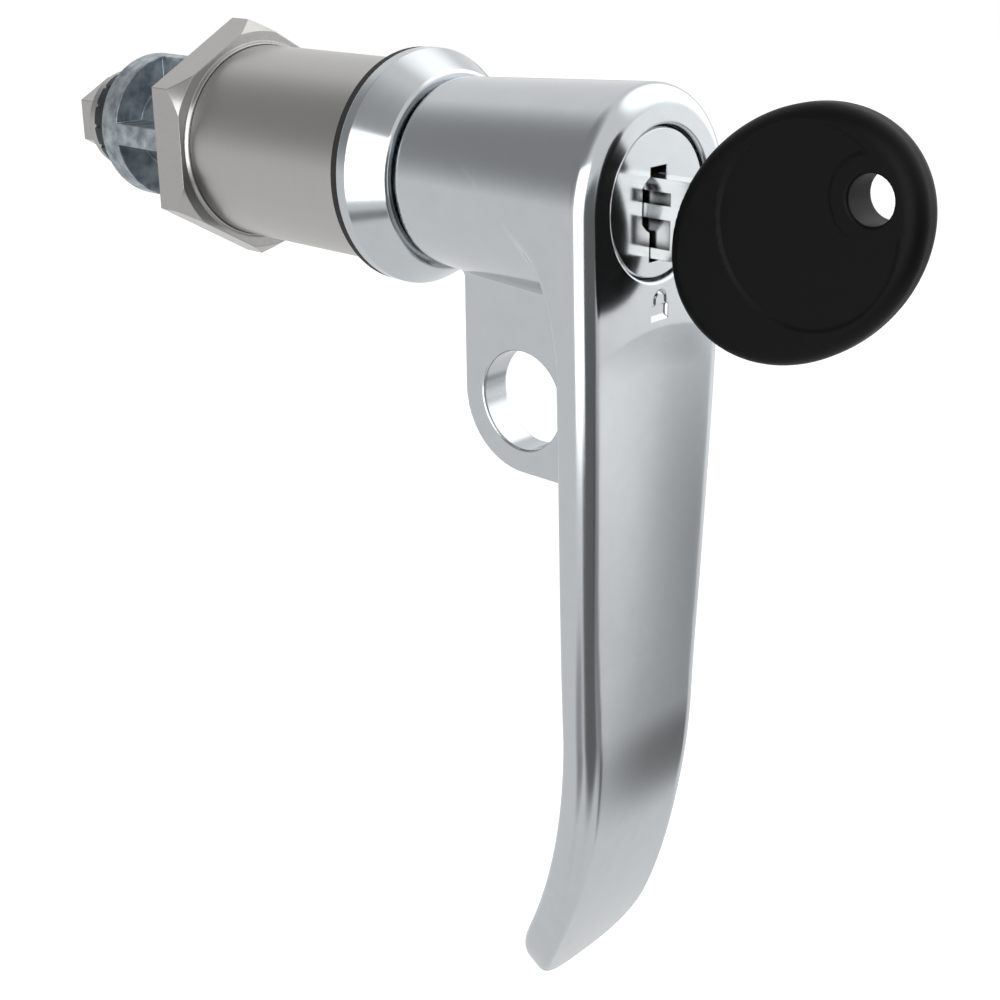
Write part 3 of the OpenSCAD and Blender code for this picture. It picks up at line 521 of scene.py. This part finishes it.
card("black_front", -21, -16.5, 46, 33.5, 0.66, 0.8, 0.0)
card("black_low", 49, -38, 14, 11.5, 0.3, 0.72, 0.0)
card("black_right", 29, -28.5, 30, 19, 0.0, 0.64, 0.0)
card("black_rear", -126, 41, 51, 50, 0.33, 0.63, 0.0)
card("black_left", -83, -37, 22, 7, 0.3, 0.65, 0.0)
card("white_right", 72, -17, 36, 12, 0.0, 0.84, 1.27)
card("white_side", 71, 36, 40, 48, 0.6, 1.0, 2.0)
card("white_head", 54, -6, 16, 12, 0.0, 0.45, 2.0)
card("black_beyond", 130, -5, 15, 12, 0.3, 0.6, 0.0)

scene = bpy.context.scene
world = bpy.data.worlds.new("white surround")
scene.world = world
world.use_nodes = True
sky = world.node_tree
sky.nodes.clear()
# The surround is pure white to the camera, nearly so in reflections, and dimmer as a light.
as_light, as_white, mirror_share = 0.5, 1.0, 0.84
path = add(sky, "ShaderNodeLightPath", {}, {})
seen = add(sky, "ShaderNodeMath", {"operation": "MAXIMUM"}, {
    0: path.outputs["Is Camera Ray"], 1: path.outputs["Is Transmission Ray"]})
seen = add(sky, "ShaderNodeMath", {"operation": "MULTIPLY_ADD"}, {
    0: path.outputs["Is Glossy Ray"], 1: mirror_share, 2: seen.outputs[0]})
level = add(sky, "ShaderNodeMapRange", {}, {
    "Value": seen.outputs[0], "To Min": as_light, "To Max": as_white})
glow = add(sky, "ShaderNodeBackground", {}, {"Color": (1, 1, 1, 1), "Strength": level.outputs["Result"]})
add(sky, "ShaderNodeOutputWorld", {}, {"Surface": glow.outputs[0]})

# The floor is far below, as the latch floats in the photograph, and keeps a soft shadow.
floor_z, camera_lift, mirror_level = -1.0, 0.7, 0.87
bpy.ops.mesh.primitive_circle_add(vertices=96, radius=9, fill_type="NGON", location=(0, 0, floor_z))
floor = bpy.context.object
floor.name = "floor"
paper = bpy.data.materials.new("white paper")
paper.use_nodes = True
tree = paper.node_tree
tree.nodes.clear()
path = add(tree, "ShaderNodeLightPath", {}, {})
lift = add(tree, "ShaderNodeMath", {"operation": "MULTIPLY"}, {
    0: path.outputs["Is Camera Ray"], 1: camera_lift})
matt = add(tree, "ShaderNodeBsdfDiffuse", {}, {"Color": colour("#f0f0f0")})
shine = add(tree, "ShaderNodeEmission", {}, {"Color": (1, 1, 1, 1), "Strength": lift.outputs[0]})
both = add(tree, "ShaderNodeAddShader", {}, {0: matt.outputs[0], 1: shine.outputs[0]})
mirrored = add(tree, "ShaderNodeEmission", {}, {"Color": (1, 1, 1, 1), "Strength": mirror_level})
either = add(tree, "ShaderNodeMixShader", {}, {
    0: path.outputs["Is Glossy Ray"], 1: both.outputs[0], 2: mirrored.outputs[0]})
add(tree, "ShaderNodeOutputMaterial", {}, {"Surface": either.outputs[0]})
floor.data.materials.append(paper)

# Camera: fitted to the photograph's round edges.
camera = bpy.data.cameras.new("camera")
camera.sensor_width, camera.lens = 36, 57.652
camera.shift_x, camera.shift_y = -0.05817, -0.0762
camera.clip_start = 0.01
eye = bpy.data.objects.new("camera", camera)
azimuth, elevation, distance = math.radians(-48.97), math.radians(18.9), 0.16826
back = Vector((math.sin(azimuth) * math.cos(elevation), -math.cos(azimuth) * math.cos(elevation),
               math.sin(elevation)))
right = Vector((0, 0, 1)).cross(back).normalized()
up = back.cross(right)
eye.matrix_world = Matrix.Translation(Vector((0, -0.020, -0.025)) + back * distance) @ Matrix(
    (right, up, back)).transposed().to_4x4()
scene.collection.objects.link(eye)
scene.camera = eye
scene.view_settings.view_transform = "Standard"
